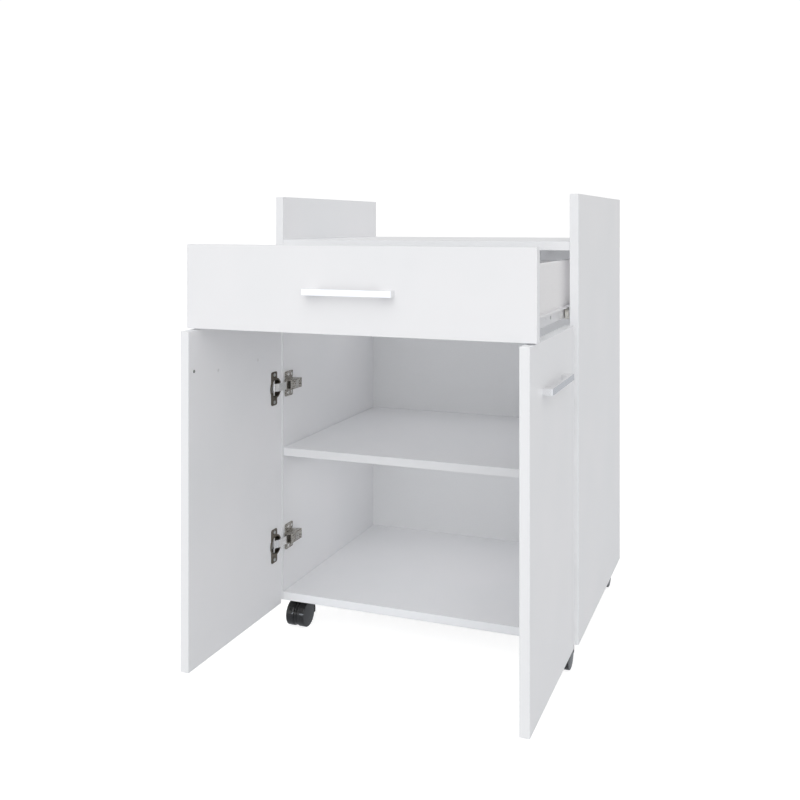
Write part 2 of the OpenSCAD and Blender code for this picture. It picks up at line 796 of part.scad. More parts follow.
module cabinet_roller() { roller([cab_roller_x, front_gap + roller_inset, cab_roller_z]); }
module drawer_roller() { roller([drawer_roller_x, box_y + rail_l - roller_inset, drawer_roller_z]); }
module cabinet_roller_left() { in_cabinet() on_side(-1) cabinet_roller(); }
module cabinet_roller_right() { in_cabinet() cabinet_roller(); }
module drawer_roller_left() { in_cabinet() on_side(-1) drawer_roller(); }
module drawer_roller_right() { in_cabinet() drawer_roller(); }

// ---------- casters ----------

// Place of caster n (1 to 4): swivel axis at the origin, floor at z = 0, axle towards -y
module at_caster(n) {
    spot = caster_spots[n - 1];
    translate([spot[0] * (half_w - caster_inset), shift_y + spot[1], 0])
        rotate([0, 0, spot[2] > 0 ? 180 : 0]) children();
}

module at_every_caster() {
    for (n = [1 : 4]) at_caster(n) children();
}

module caster_plates() {
    z0 = caster_h - plate_t;
    color(black) at_every_caster() {
        difference() {
            translate([0, 0, z0]) round_plate(plate_side, plate_side, plate_t, caster_plate_round);
            for (i = [-1, 1]) for (j = [-1, 1]) {
                bar_z([i * caster_screw_at, j * caster_screw_at, z0 - eps], small_screw[0] + fit_clear, plate_t + 1);
            }
        }
        bar_z([0, 0, z0 - king_pin_l], king_pin_r, king_pin_l + eps);
    }
}

module caster_screws() {
    color(steel) at_every_caster() for (i = [-1, 1]) for (j = [-1, 1]) {
        translate([i * caster_screw_at, j * caster_screw_at, caster_h - plate_t]) rotate([180, 0, 0])
            screw(small_screw, caster_screw_l);
    }
}

// A flat outline in the wheels' plane, centred on the axle and given a width along x
module across(width) {
    translate([-width / 2, -trail, wheel_r]) rotate([90, 0, 90]) linear_extrude(width) children();
}

// Hood over the swivel side, web between the wheels and boss round the king pin
module caster_hood() {
    color(black) difference() {
        union() {
            across(hood_w) intersection() {
                circle(hood_r + hood_t);
                polygon([[0, 0], [-hood_lean, hood_far], [hood_far, hood_far], [hood_far, -hood_drop]]);
            }
            across(web_t) circle(wheel_r - 1.5);
            bar_z([0, 0, wheel_r + 12], boss_r, boss_top - wheel_r - 12);
        }
        // room for the wheels
        for (k = [-1, 1]) {
            translate([k * (web_t / 2 + hood_w / 2), -trail, wheel_r]) rotate([0, 90, 0])
                cylinder(r = hood_r, h = hood_w, center = true);
        }
        // arch between the wheels
        across(hood_w + 1) translate([0, -wheel_r]) circle(arch_r);
        bar_z([0, 0, caster_h - plate_t - king_pin_l - body_clear], king_pin_r + bore_clear, king_pin_l + 1);
        bar_x([-hood_w, -trail, wheel_r], axle_d / 2 + bore_clear, 2 * hood_w);
    }
}

module caster_axle() {
    color(steel) bar_x([-axle_l / 2, -trail, wheel_r], axle_d / 2, axle_l);
}

// Wheel turned from one outline: rounded tread, shallow dish in the outer face
module wheel(s) {
    in = wheel_gap / 2;
    out = in + wheel_w;
    c = tread_round;
    bore = axle_d / 2 + bore_clear;
    color(black) translate([0, -trail, wheel_r]) mirror([s > 0 ? 0 : 1, 0, 0]) rotate([0, 90, 0])
        rotate_extrude() polygon([
            [bore, in], [wheel_r - c, in],
            for (a = [15 : 15 : 75]) [wheel_r - c + c * sin(a), in + c - c * cos(a)],
            [wheel_r, in + c], [wheel_r, out - c],
            for (a = [15 : 15 : 75]) [wheel_r - c + c * cos(a), out - c + c * sin(a)],
            [wheel_r - c, out], [wheel_r - c - rim_w, out],
            [wheel_r - c - rim_w - rim_depth, out - rim_depth], [0, out - rim_depth],
            [0, axle_l / 2 + body_clear], [bore, axle_l / 2 + body_clear]
        ]);
}

module caster_hood_1() { at_caster(1) caster_hood(); }
module caster_hood_2() { at_caster(2) caster_hood(); }
module caster_hood_3() { at_caster(3) caster_hood(); }
module caster_hood_4() { at_caster(4) caster_hood(); }
module caster_axle_1() { at_caster(1) caster_axle(); }
module caster_axle_2() { at_caster(2) caster_axle(); }
module caster_axle_3() { at_caster(3) caster_axle(); }
module caster_axle_4() { at_caster(4) caster_axle(); }
module wheel_1_left() { at_caster(1) wheel(-1); }
module wheel_1_right() { at_caster(1) wheel(1); }
module wheel_2_left() { at_caster(2) wheel(-1); }
module wheel_2_right() { at_caster(2) wheel(1); }
module wheel_3_left() { at_caster(3) wheel(-1); }
module wheel_3_right() { at_caster(3) wheel(1); }
module wheel_4_left() { at_caster(4) wheel(-1); }
module wheel_4_right() { at_caster(4) wheel(1); }

// ---------- output ----------

side_left();
side_right();
worktop();
bottom_panel();
shelf();
back_panel();
cam_locks();
cam_bolts();
dowels();
shelf_pins();
hinge_plates();
hinge_arms();
hinge_plate_screws();
cabinet_runner_left();
cabinet_runner_right();
cabinet_runner_screws();
caster_plates();
caster_screws();
door_left();
hinge_cups_left();
cup_screws_left();
door_handle_left();
handle_screws_left();
door_right();
hinge_cups_right();
cup_screws_right();
door_handle_right();
handle_screws_right();
hinge_links_left();
hinge_links_right();
drawer_front();
drawer_side_left();
drawer_side_right();
drawer_back();
drawer_bottom();
drawer_runner_left();
drawer_runner_right();
drawer_handle();
drawer_handle_screws();
drawer_screws();
cabinet_roller_left();
cabinet_roller_right();
drawer_roller_left();
drawer_roller_right();
caster_hood_1();
caster_hood_2();
caster_hood_3();
caster_hood_4();
caster_axle_1();
caster_axle_2();
caster_axle_3();
caster_axle_4();
wheel_1_left();
wheel_1_right();
wheel_2_left();
wheel_2_right();
wheel_3_left();
wheel_3_right();
wheel_4_left();
wheel_4_right();
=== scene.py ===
"""Looks of the microwave cart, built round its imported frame. Lengths are in metres."""

import json
import math

import bmesh
import bpy
from mathutils import Matrix, Vector

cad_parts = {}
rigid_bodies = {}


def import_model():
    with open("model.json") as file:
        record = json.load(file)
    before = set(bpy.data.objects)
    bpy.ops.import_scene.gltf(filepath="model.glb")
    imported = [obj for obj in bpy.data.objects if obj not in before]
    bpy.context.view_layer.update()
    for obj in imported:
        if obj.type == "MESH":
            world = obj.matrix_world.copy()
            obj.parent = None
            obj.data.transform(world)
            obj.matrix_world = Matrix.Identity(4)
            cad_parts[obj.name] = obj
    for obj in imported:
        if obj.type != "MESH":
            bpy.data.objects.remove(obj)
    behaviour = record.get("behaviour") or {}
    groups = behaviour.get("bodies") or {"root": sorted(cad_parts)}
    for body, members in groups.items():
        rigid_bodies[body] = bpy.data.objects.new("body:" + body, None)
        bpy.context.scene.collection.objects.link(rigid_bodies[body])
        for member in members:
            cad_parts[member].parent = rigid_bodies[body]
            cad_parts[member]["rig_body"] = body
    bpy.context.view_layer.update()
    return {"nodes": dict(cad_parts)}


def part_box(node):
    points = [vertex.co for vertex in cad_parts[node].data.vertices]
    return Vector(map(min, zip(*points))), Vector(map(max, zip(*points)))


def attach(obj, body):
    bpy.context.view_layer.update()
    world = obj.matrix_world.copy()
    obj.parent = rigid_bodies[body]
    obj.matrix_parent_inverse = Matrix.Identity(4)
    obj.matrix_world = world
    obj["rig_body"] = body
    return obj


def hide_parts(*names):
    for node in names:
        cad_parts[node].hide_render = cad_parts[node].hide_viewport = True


MM = 0.001

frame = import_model()
nodes = frame["nodes"]
scene = bpy.context.scene

# ---------- sizes ----------

# vertices closer than this are one
WELD = 0.002 * MM
# a vertex closer than this to a side of its box lies on that side
ON_SIDE = 0.02 * MM
# edges are broken where their faces meet at more than this angle
SHARP = math.radians(35)

# rounding of a board's outline
BOARD_EDGE = 0.8 * MM
# how squarely a face looks the way of a board's broad faces: 1 is square, 0 is at right angles;
# round the outline the band comes below the first value and the glue line below the second
BAND_BELOW = 0.55
GLUE_BELOW = 0.85
# and any face below this one is a narrow side
NARROW_BELOW = 0.2

# hinge cups: the ring, bowl and flange of the solids
RING_R = 19.5 * MM
BOWL_R = 16.3 * MM
FLANGE_L = 64 * MM
FLANGE_NEAR = 4 * MM
FLANGE_FAR = 16.5 * MM
MOUTH_HALF = 8 * MM
# and the narrower rim and rolled-in opening of the pressed steel, with the radius of the painted bright
# reflection inside
RIM_R = 17.8 * MM
OPENING_R = 14.4 * MM
PAINTED_REFLECTION_R = 14.8 * MM
CUP_EDGE = 0.25 * MM
# a vertex closer than this to a straight edge, or to a circle of the cup, belongs to it
ON_EDGE = 0.05 * MM
ON_CIRCLE = 0.06 * MM

# small turned pieces: (height above the face, radius) points in millimetres, from the axis outwards
ARM_SCREW_MM = ((0.0, 0.0), (0.25, 1.0), (0.85, 1.3), (0.9, 2.5), (0.55, 3.1), (-0.3, 3.1))
WING_CAM_MM = ((0.0, 0.0), (0.3, 0.9), (0.7, 1.2), (0.7, 2.4), (0.4, 2.9), (-0.3, 2.9))
DOOR_PAD_MM = ((0.9, 0.0), (0.85, 1.6), (0.6, 2.4), (0.0, 2.7))

# places of the screws and ribs along a hinge arm, from its front end
ARM_SCREWS = (10 * MM, 31 * MM)
ARM_RIBS = [(17.7 + 3 * i) * MM for i in range(4)]
ARM_SCREW_SINK = 0.9 * MM
RIB_HEIGHT = 0.7 * MM
RIB_WIDTH = 1.5 * MM
RIB_MARGINS = 3.4 * MM
# place of the cams on a mounting plate: back from its front end, and up and down from its middle
WING_CAM_Y = 23 * MM
WING_CAM_Z = 17.5 * MM

# place of the bumper pads: back from the door's free edge, and above the floor
PAD_INSET = 15 * MM
PAD_Z = 548 * MM

# caster wheels
WHEEL_BORE_R = 3.1 * MM
WHEEL_OUTER_EDGE = 1.3 * MM
WHEEL_INNER_EDGE = 3.2 * MM
ARC_STEPS = 6


# ---------- colours and material helpers ----------


def colour(hex_text):
    """An sRGB hex colour as linear red, green, blue, alpha."""
    parts = [int(hex_text[i : i + 2], 16) / 255 for i in (1, 3, 5)]
    return [c / 12.92 if c <= 0.04045 else ((c + 0.055) / 1.055) ** 2.4 for c in parts] + [1.0]


def add(tree, kind, settings=None, links=None):
    """Adds one node: settings are attributes or input values, links feed inputs from other nodes' outputs."""
    node = tree.nodes.new(kind)
    for name, value in (settings or {}).items():
        if isinstance(name, str) and hasattr(node, name):
            setattr(node, name, value)
        else:
            node.inputs[name].default_value = value
    for name, output in (links or {}).items():
        tree.links.new(output, node.inputs[name])
    return node


def material(name, base, roughness, metallic=0.0, ior=None):
    """A new material with its shader set, and the object's own coordinates scaled to millimetres."""
    mat = bpy.data.materials.new(name)
    mat.use_nodes = True
    tree = mat.node_tree
    shader = tree.nodes["Principled BSDF"]
    shader.inputs["Base Color"].default_value = colour(base)
    shader.inputs["Roughness"].default_value = roughness
    shader.inputs["Metallic"].default_value = metallic
    if ior:
        shader.inputs["IOR"].default_value = ior
    place = add(tree, "ShaderNodeTexCoord").outputs["Object"]
    in_mm = add(tree, "ShaderNodeVectorMath", {"operation": "SCALE", "Scale": 1 / MM}, {0: place})
    return mat, tree, shader, in_mm.outputs["Vector"]


def streaks(tree, mm, stretch, scale, detail):
    """Noise drawn out along one axis, as wood grain, paper fibres, rolling marks and brushing are."""
    drawn = add(tree, "ShaderNodeVectorMath", {"operation": "MULTIPLY", 1: stretch}, {0: mm})
    noise = {"Scale": scale, "Detail": detail}
    return add(tree, "ShaderNodeTexNoise", noise, {"Vector": drawn.outputs["Vector"]}).outputs["Fac"]


def spread(tree, source, low, high):
    """Maps a 0 to 1 value onto a range, most often of roughness."""
    ends = {"To Min": low, "To Max": high}
    return add(tree, "ShaderNodeMapRange", ends, {"Value": source}).outputs["Result"]


def tint(tree, source, dark, light):
    """Turns a 0 to 1 value into a colour between two tones of one finish."""
    ramp = add(tree, "ShaderNodeValToRGB", None, {"Fac": source})
    dark_end, light_end = ramp.color_ramp.elements
    # nearly all of the noise lies between these two
    dark_end.position = 0.3
    light_end.position = 0.7
    dark_end.color = colour(dark)
    light_end.color = colour(light)
    return ramp.outputs["Color"]


def raise_surface(tree, shader, height, strength, depth_mm):
    """Feeds a height pattern to the shader as bump."""
    bump = add(tree, "ShaderNodeBump", {"Strength": strength, "Distance": depth_mm * MM}, {"Height": height})
    tree.links.new(bump.outputs["Normal"], shader.inputs["Normal"])


# ---------- materials ----------


def melamine_board():
    """Melamine-faced particle board: an even, cool white whose fine pearl structure softens its sheen."""
    mat, tree, shader, mm = material("melamine_board", "#f0f1f3", 0.42, ior=1.5)
    # clouds of the printed paper, about 160 mm wide
    cloud = add(tree, "ShaderNodeTexNoise", {"Scale": 1 / 160, "Detail": 2.0}, {"Vector": mm})
    tree.links.new(tint(tree, cloud.outputs["Fac"], "#eff0f2", "#f2f2f4"), shader.inputs["Base Color"])
    # pearl structure, pressed in by the coating plate, about 1.2 mm from bump to bump
    pearl = add(tree, "ShaderNodeTexNoise", {"Scale": 1 / 1.2, "Detail": 1.0}, {"Vector": mm}).outputs["Fac"]
    tree.links.new(spread(tree, pearl, 0.38, 0.47), shader.inputs["Roughness"])
    raise_surface(tree, shader, pearl, 0.12, 0.05)
    return mat


def edge_band():
    """Melamine edge band ironed on to the narrow sides: the same white, smoother and a little brighter."""
    mat, tree, shader, mm = material("edge_band", "#f1f2f4", 0.34, ior=1.5)
    # faint lengthwise waves of the chipboard core under the thin band, about 5 mm apart
    core = add(tree, "ShaderNodeTexNoise", {"Scale": 1 / 5, "Detail": 3.0}, {"Vector": mm}).outputs["Fac"]
    tree.links.new(spread(tree, core, 0.3, 0.38), shader.inputs["Roughness"])
    raise_surface(tree, shader, core, 0.08, 0.06)
    return mat


def glue_line():
    """The joint between board and edge band: a hairline that is slightly greyer than both."""
    mat, tree, shader, mm = material("glue_line", "#d9dbdf", 0.5, ior=1.5)
    # specks about 2.5 mm long
    speck = add(tree, "ShaderNodeTexNoise", {"Scale": 1 / 2.5, "Detail": 2.0}, {"Vector": mm})
    tree.links.new(tint(tree, speck.outputs["Fac"], "#d2d4d9", "#e2e3e6"), shader.inputs["Base Color"])
    return mat


def drawer_foil():
    """Paper foil wrapped round the drawer's sides: white with a softer, duller surface than the boards."""
    mat, tree, shader, mm = material("drawer_foil", "#ecebec", 0.5, ior=1.48)
    # paper fibres show as streaks along the board, about 1 mm wide
    fibre = streaks(tree, mm, (1.0, 0.06, 1.0), 1.0, 3.0)
    tree.links.new(tint(tree, fibre, "#ebeaeb", "#eeedee"), shader.inputs["Base Color"])
    raise_surface(tree, shader, fibre, 0.08, 0.04)
    return mat


def lacquered_fibreboard():
    """Thin hard fibreboard with white roller lacquer: almost even, with a faint mottle of pressed fibres."""
    mat, tree, shader, mm = material("lacquered_fibreboard", "#ecedef", 0.46, ior=1.5)
    # clumps of fibres about 3 mm across
    clump = {"Scale": 1 / 3, "Detail": 5.0, "Roughness": 0.6}
    fibre = add(tree, "ShaderNodeTexNoise", clump, {"Vector": mm}).outputs["Fac"]
    tree.links.new(tint(tree, fibre, "#eaebed", "#eeeff0"), shader.inputs["Base Color"])
    raise_surface(tree, shader, fibre, 0.1, 0.08)
    return mat


def rolling_marks(tree, mm):
    """Streaks of the sheet steel under the nickel, about 1.4 mm wide and 10 mm long."""
    return streaks(tree, mm, (1.0, 0.15, 1.0), 0.7, 4.0)


def nickel_plate(name, base, dark, light, low, high, metallic=1.0):
    """Nickel-plated pressed steel: a warm metal gloss with faint streaks from rolling and tumbling."""
    mat, tree, shader, mm = material(name, base, 0.28, metallic)
    rolled = rolling_marks(tree, mm)
    tree.links.new(tint(tree, rolled, dark, light), shader.inputs["Base Color"])
    tree.links.new(spread(tree, rolled, low, high), shader.inputs["Roughness"])
    raise_surface(tree, shader, rolled, 0.1, 0.05)
    return mat


def cup_nickel():
    """The pressed hinge cups: one nickel steel in two painted tones, dark on the flange and near-white in the
    bowl, standing in for the dark and bright reflections seen in them.
    """
    mat, tree, shader, mm = material("cup_nickel", "#6a6459", 0.3, metallic=1.0)
    low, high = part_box("hinge_cups_left")
    bowl_y = high.y - RING_R
    middle_z = (low.z + high.z) / 2
    from_middle = (high.z - low.z - FLANGE_L) / 2
    parts = add(tree, "ShaderNodeSeparateXYZ", None, {0: mm}).outputs
    # the two bowls lie above and below the middle, so one folded height serves both
    height = add(tree, "ShaderNodeMath", {"operation": "SUBTRACT", 1: middle_z / MM}, {0: parts["Z"]})
    folded = add(tree, "ShaderNodeMath", {"operation": "ABSOLUTE"}, {0: height.outputs[0]})
    up = add(tree, "ShaderNodeMath", {"operation": "SUBTRACT", 1: from_middle / MM}, {0: folded.outputs[0]})
    along = add(tree, "ShaderNodeMath", {"operation": "SUBTRACT", 1: bowl_y / MM}, {0: parts["Y"]})
    offset = add(tree, "ShaderNodeCombineXYZ", None, {0: along.outputs[0], 1: up.outputs[0]})
    radius = add(tree, "ShaderNodeVectorMath", {"operation": "LENGTH"}, {0: offset.outputs[0]})
    # inside this radius the bowl gets the painted bright reflection
    painted_reflection_inside = {"operation": "LESS_THAN", 1: PAINTED_REFLECTION_R / MM}
    bowl = add(tree, "ShaderNodeMath", painted_reflection_inside, {0: radius.outputs["Value"]}).outputs[0]
    rolled = rolling_marks(tree, mm)
    # painted reflection: a dark tone for the flange and a near-white one for the bowl
    dark = tint(tree, rolled, "#5c564c", "#777065")
    bright = tint(tree, rolled, "#e6e6e6", "#f2f2f2")
    # the colour inputs and output of this node are reached by number
    both = add(tree, "ShaderNodeMix", {"data_type": "RGBA"}, {0: bowl, 6: dark, 7: bright}).outputs[2]
    tree.links.new(both, shader.inputs["Base Color"])
    # the bowl is made less metallic than the flange, so that its painted near-white reads evenly as the
    # bright reflection
    tree.links.new(spread(tree, bowl, 1.0, 0.25), shader.inputs["Metallic"])
    tree.links.new(spread(tree, rolled, 0.22, 0.38), shader.inputs["Roughness"])
    return mat


def zinc_plate():
    """Bright zinc-plated screws and fittings: light grey metal with a slightly cloudy passivated skin."""
    mat, tree, shader, mm = material("zinc_plate", "#c3c5c6", 0.3, metallic=1.0)
    # clouds about 2 mm wide
    cloud = add(tree, "ShaderNodeTexNoise", {"Scale": 1 / 2, "Detail": 3.0}, {"Vector": mm}).outputs["Fac"]
    tree.links.new(tint(tree, cloud, "#b4b6b6", "#d0d1cf"), shader.inputs["Base Color"])
    tree.links.new(spread(tree, cloud, 0.22, 0.4), shader.inputs["Roughness"])
    return mat


def epoxy_coat():
    """White epoxy powder coat on the runners' sheet steel: an orange-peel skin with a soft gloss."""
    mat, tree, shader, mm = material("epoxy_coat", "#e4e4e6", 0.32, ior=1.52)
    shader.inputs["Coat Weight"].default_value = 0.15
    # orange peel of the baked powder, about 1.5 mm from dimple to dimple
    dimples = {"feature": "SMOOTH_F1", "Scale": 1 / 1.5, "Smoothness": 1.0}
    peel = add(tree, "ShaderNodeTexVoronoi", dimples, {"Vector": mm}).outputs["Distance"]
    raise_surface(tree, shader, peel, 0.15, 0.06)
    # uneven thickness of the powder, in clouds about 30 mm wide
    cloud = add(tree, "ShaderNodeTexNoise", {"Scale": 1 / 30, "Detail": 2.0}, {"Vector": mm}).outputs["Fac"]
    tree.links.new(tint(tree, cloud, "#e1e1e4", "#e7e7e8"), shader.inputs["Base Color"])
    return mat


def brushed_handle_metal(name, along):
    """Satin-brushed handle metal: a bright grey bar whose fine scratches along it stretch its reflections."""
    mat, tree, shader, mm = material(name, "#ededee", 0.2, metallic=1.0)
    # scratches are drawn 0.4 mm wide and 50 mm long, coarser than real ones, so that they show
    stretch = tuple(0.02 if axis == along else 2.5 for axis in range(3))
    scratch = streaks(tree, mm, stretch, 1.0, 3.0)
    tree.links.new(tint(tree, scratch, "#eaeaeb", "#f0f0f0"), shader.inputs["Base Color"])
    tree.links.new(spread(tree, scratch, 0.12, 0.22), shader.inputs["Roughness"])
    raise_surface(tree, shader, scratch, 0.12, 0.02)
    return mat


def roller_nylon():
    """Natural nylon rollers: a milky, slightly waxy plastic."""
    mat, tree, shader, mm = material("roller_nylon", "#e3e1db", 0.35, ior=1.53)
    shader.inputs["Subsurface Weight"].default_value = 0.1
    shader.inputs["Subsurface Radius"].default_value = (1.2 * MM, 1.0 * MM, 0.8 * MM)
    shader.inputs["Subsurface Scale"].default_value = 1.0
    # clouds about 3 mm wide
    cloud = add(tree, "ShaderNodeTexNoise", {"Scale": 0.3, "Detail": 2.0}, {"Vector": mm}).outputs["Fac"]
    tree.links.new(tint(tree, cloud, "#dfddd6", "#e7e5df"), shader.inputs["Base Color"])
    return mat


def caster_nylon(name, base, dark, light, low, high):
    """Black moulded nylon: a deep grey-black with a smooth moulded gloss and faint flow marks."""
    mat, tree, shader, mm = material(name, base, 0.26, ior=1.53)
    # flow marks about 4 mm wide
    marks = {"Scale": 1 / 4, "Detail": 3.0, "Distortion": 0.6}
    flow = add(tree, "ShaderNodeTexNoise", marks, {"Vector": mm}).outputs["Fac"]
    tree.links.new(tint(tree, flow, dark, light), shader.inputs["Base Color"])
    tree.links.new(spread(tree, flow, low, high), shader.inputs["Roughness"])
    # fine spark-eroded texture of the mould, about 0.6 mm
    grain = add(tree, "ShaderNodeTexNoise", {"Scale": 1.7, "Detail": 1.0}, {"Vector": mm}).outputs["Fac"]
    raise_surface(tree, shader, grain, 0.08, 0.03)
    return mat


def pad_rubber():
    """Soft grey-green bumper rubber with a dull, dusty surface."""
    mat, tree, shader, mm = material("pad_rubber", "#7f857f", 0.6, ior=1.52)
    # specks of dust, drawn about 0.7 mm wide so that they show
    dust = add(tree, "ShaderNodeTexNoise", {"Scale": 1.5, "Detail": 3.0}, {"Vector": mm}).outputs["Fac"]
    tree.links.new(tint(tree, dust, "#757b76", "#8a908a"), shader.inputs["Base Color"])
    tree.links.new(spread(tree, dust, 0.5, 0.7), shader.inputs["Roughness"])
    return mat


def beech():
    """Beech dowels: pale red-brown wood with short dark flecks along the grain."""
    mat, tree, shader, mm = material("beech", "#c69c6d", 0.6, ior=1.5)
    # flecks about 0.8 mm wide and 4 mm long
    fleck = streaks(tree, mm, (0.2, 1.0, 1.0), 1.2, 4.0)
    tree.links.new(tint(tree, fleck, "#b98a5c", "#cfa878"), shader.inputs["Base Color"])
    raise_surface(tree, shader, fleck, 0.1, 0.05)
    return mat


MELAMINE = melamine_board()
BAND = edge_band()
GLUE = glue_line()
FOIL = drawer_foil()
FIBREBOARD = lacquered_fibreboard()
ARM_NICKEL = nickel_plate("arm_nickel", "#a5a19a", "#938f88", "#b4b0a9", 0.2, 0.36, metallic=0.6)
CUP_NICKEL = cup_nickel()
# bright nickel for the links, screws and fittings; on the hinge arms' ribs it serves as a painted highlight
BRIGHT_NICKEL_AND_RIB_HIGHLIGHT = nickel_plate("bright_nickel_and_rib_highlight", "#e9e8e6", "#e2e1df", "#f0efed", 0.14, 0.24)
ZINC = zinc_plate()
EPOXY = epoxy_coat()
HANDLE_X = brushed_handle_metal("brushed_handle_metal_x", 0)
HANDLE_Y = brushed_handle_metal("brushed_handle_metal_y", 1)
ROLLER = roller_nylon()
CASTER = caster_nylon("caster_nylon", "#151517", "#131315", "#19191b", 0.12, 0.2)
WHEEL = caster_nylon("wheel_nylon", "#1b1b1d", "#18181a", "#1f1f21", 0.14, 0.22)
PAD = pad_rubber()
BEECH = beech()


# ---------- mesh helpers ----------


def make_piece(name, mesh, body, materials):
    """Puts a finished mesh into the scene as a piece that rides on a CAD body."""
    piece = bpy.data.objects.new(name, mesh)
    scene.collection.objects.link(piece)
    for mat in materials:
        mesh.materials.append(mat)
    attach(piece, body)
    return piece


def mesh_from(shape, name):
    """Writes a shape into a new mesh and lets the shape go."""
    mesh = bpy.data.meshes.new(name)
    shape.to_mesh(mesh)
    shape.free()
    return mesh


def shape_of(name):
    """A CAD node's mesh as a shape whose faces share their vertices."""
    shape = bmesh.new()
    shape.from_mesh(nodes[name].data)
    bmesh.ops.remove_doubles(shape, verts=shape.verts, dist=WELD)
    return shape


def shade_smooth(mesh):
    """Smooth shading on every face."""
    mesh.polygons.foreach_set("use_smooth", [True] * len(mesh.polygons))


def smooth(mesh, angle=30):
    """Smooth shading with hard edges where faces meet at more than the angle, in degrees."""
    shade_smooth(mesh)
    mesh.set_sharp_from_angle(angle=math.radians(angle))


def flatten_faces(piece):
    """Keeps the large faces flat where their rounded edges begin."""
    modifier = piece.modifiers.new("flat_faces", "WEIGHTED_NORMAL")
    modifier.keep_sharp = True
    modifier.weight = 80


def break_edges(piece, radius, segments=2):
    """Rounds the sharp edges a little, as a real piece's are broken."""
    bevel = piece.modifiers.new("broken_edges", "BEVEL")
    bevel.width = radius
    bevel.segments = segments
    bevel.limit_method = "ANGLE"
    bevel.angle_limit = SHARP
    shade_smooth(piece.data)
    flatten_faces(piece)


def finish_node(name, mat, radius=0.0, segments=2):
    """Gives a CAD node its material, and breaks its edges where a radius is given."""
    node = nodes[name]
    node.data.materials.clear()
    node.data.materials.append(mat)
    if radius:
        weld = node.modifiers.new("weld", "WELD")
        weld.merge_threshold = WELD
        break_edges(node, radius, segments)


def planes_of(vertex, low, high):
    """The sides of a box that a vertex lies on."""
    found = set()
    for axis in range(3):
        if abs(vertex.co[axis] - low[axis]) < ON_SIDE:
            found.add((axis, 0))
        if abs(vertex.co[axis] - high[axis]) < ON_SIDE:
            found.add((axis, 1))
    return found


def banded_board(name, face, band):
    """A coated board from its CAD node: rounded outline, edge band on the narrow sides, glue line between."""
    low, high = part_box(name)
    thin = min(range(3), key=lambda axis: high[axis] - low[axis])
    finishes = [face, band, GLUE]
    band_slot = 1
    glue_slot = 2
    shape = shape_of(name)
    bmesh.ops.dissolve_limit(shape, angle_limit=math.radians(0.5), verts=shape.verts, edges=shape.edges)
    sides = {v.index: planes_of(v, low, high) for v in shape.verts}
    outline = [e for e in shape.edges if len(sides[e.verts[0].index] & sides[e.verts[1].index]) >= 2]
    made = bmesh.ops.bevel(
        shape, geom=outline, offset=BOARD_EDGE, segments=3, profile=0.5, affect="EDGES", clamp_overlap=True
    )
    rounded = set(made["faces"])
    for f in shape.faces:
        squareness = abs(f.normal[thin])
        if f in rounded and BAND_BELOW < squareness < GLUE_BELOW:
            f.material_index = glue_slot
        elif f in rounded and squareness <= BAND_BELOW:
            f.material_index = band_slot
        elif squareness < NARROW_BELOW and planes_of(f.verts[0], low, high):
            f.material_index = band_slot
    mesh = mesh_from(shape, name + "_board")
    smooth(mesh)
    piece = make_piece(name + "_board", mesh, nodes[name]["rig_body"], finishes)
    flatten_faces(piece)
    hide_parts(name)


def turned(outline, steps=72):
    """A solid of revolution round the X axis from (x, radius) points, in metres."""
    shape = bmesh.new()
    rings = []
    for x, radius in outline:
        if radius == 0:
            rings.append([shape.verts.new((x, 0, 0))])
            continue
        ring = []
        for i in range(steps):
            a = 2 * math.pi * i / steps
            ring.append(shape.verts.new((x, radius * math.cos(a), radius * math.sin(a))))
        rings.append(ring)
    for one, two in zip(rings, rings[1:]):
        for i in range(steps):
            j = (i + 1) % steps
            corners = [one[i % len(one)], one[j % len(one)], two[j % len(two)], two[i % len(two)]]
            unique = list(dict.fromkeys(corners))
            if len(unique) > 2:
                shape.faces.new(unique)
    bmesh.ops.recalc_face_normals(shape, faces=shape.faces)
    return shape


def turned_mm(outline, steps):
    """A small solid of revolution from points in millimetres."""
    return turned([(x * MM, radius * MM) for x, radius in outline], steps)


def solids_of(name):
    """The boxes of a CAD node's separate solids."""
    shape = shape_of(name)
    waiting = set(shape.verts)
    boxes = []
    while waiting:
        found = [waiting.pop()]
        for v in found:
            for edge in v.link_edges:
                other = edge.other_vert(v)
                if other in waiting:
                    waiting.remove(other)
                    found.append(other)
        low = Vector([min(v.co[axis] for v in found) for axis in range(3)])
        high = Vector([max(v.co[axis] for v in found) for axis in range(3)])
        boxes.append((low, high))
    shape.free()
    return sorted(boxes, key=lambda box: tuple(box[0]))


def inner_face(low, high):
    """Which way a box's inner side faces along X, towards the middle of the cart, and where it lies."""
    if low.x > 0:
        return -1, low.x
    return 1, high.x


def add_shape(into, shape, place, outward):
    """Moves a small shape to its place, facing along +x or -x, and adds it to a larger one."""
    mesh = mesh_from(shape, "part")
    mesh.transform(Matrix.Translation(place) @ Matrix.Rotation(0.0 if outward > 0 else math.pi, 4, "Z"))
    into.from_mesh(mesh)
    bpy.data.meshes.remove(mesh)


# ---------- boards ----------

CABINET_BOARDS = ("side_left", "side_right", "worktop", "bottom_panel", "shelf")
FRONT_BOARDS = ("door_left", "door_right", "drawer_front")
for board in CABINET_BOARDS + FRONT_BOARDS:
    banded_board(board, MELAMINE, BAND)
for board in ("drawer_side_left", "drawer_side_right", "drawer_back"):
    banded_board(board, FOIL, FOIL)
for board in ("back_panel", "drawer_bottom"):
    finish_node(board, FIBREBOARD)

# ---------- fittings ----------

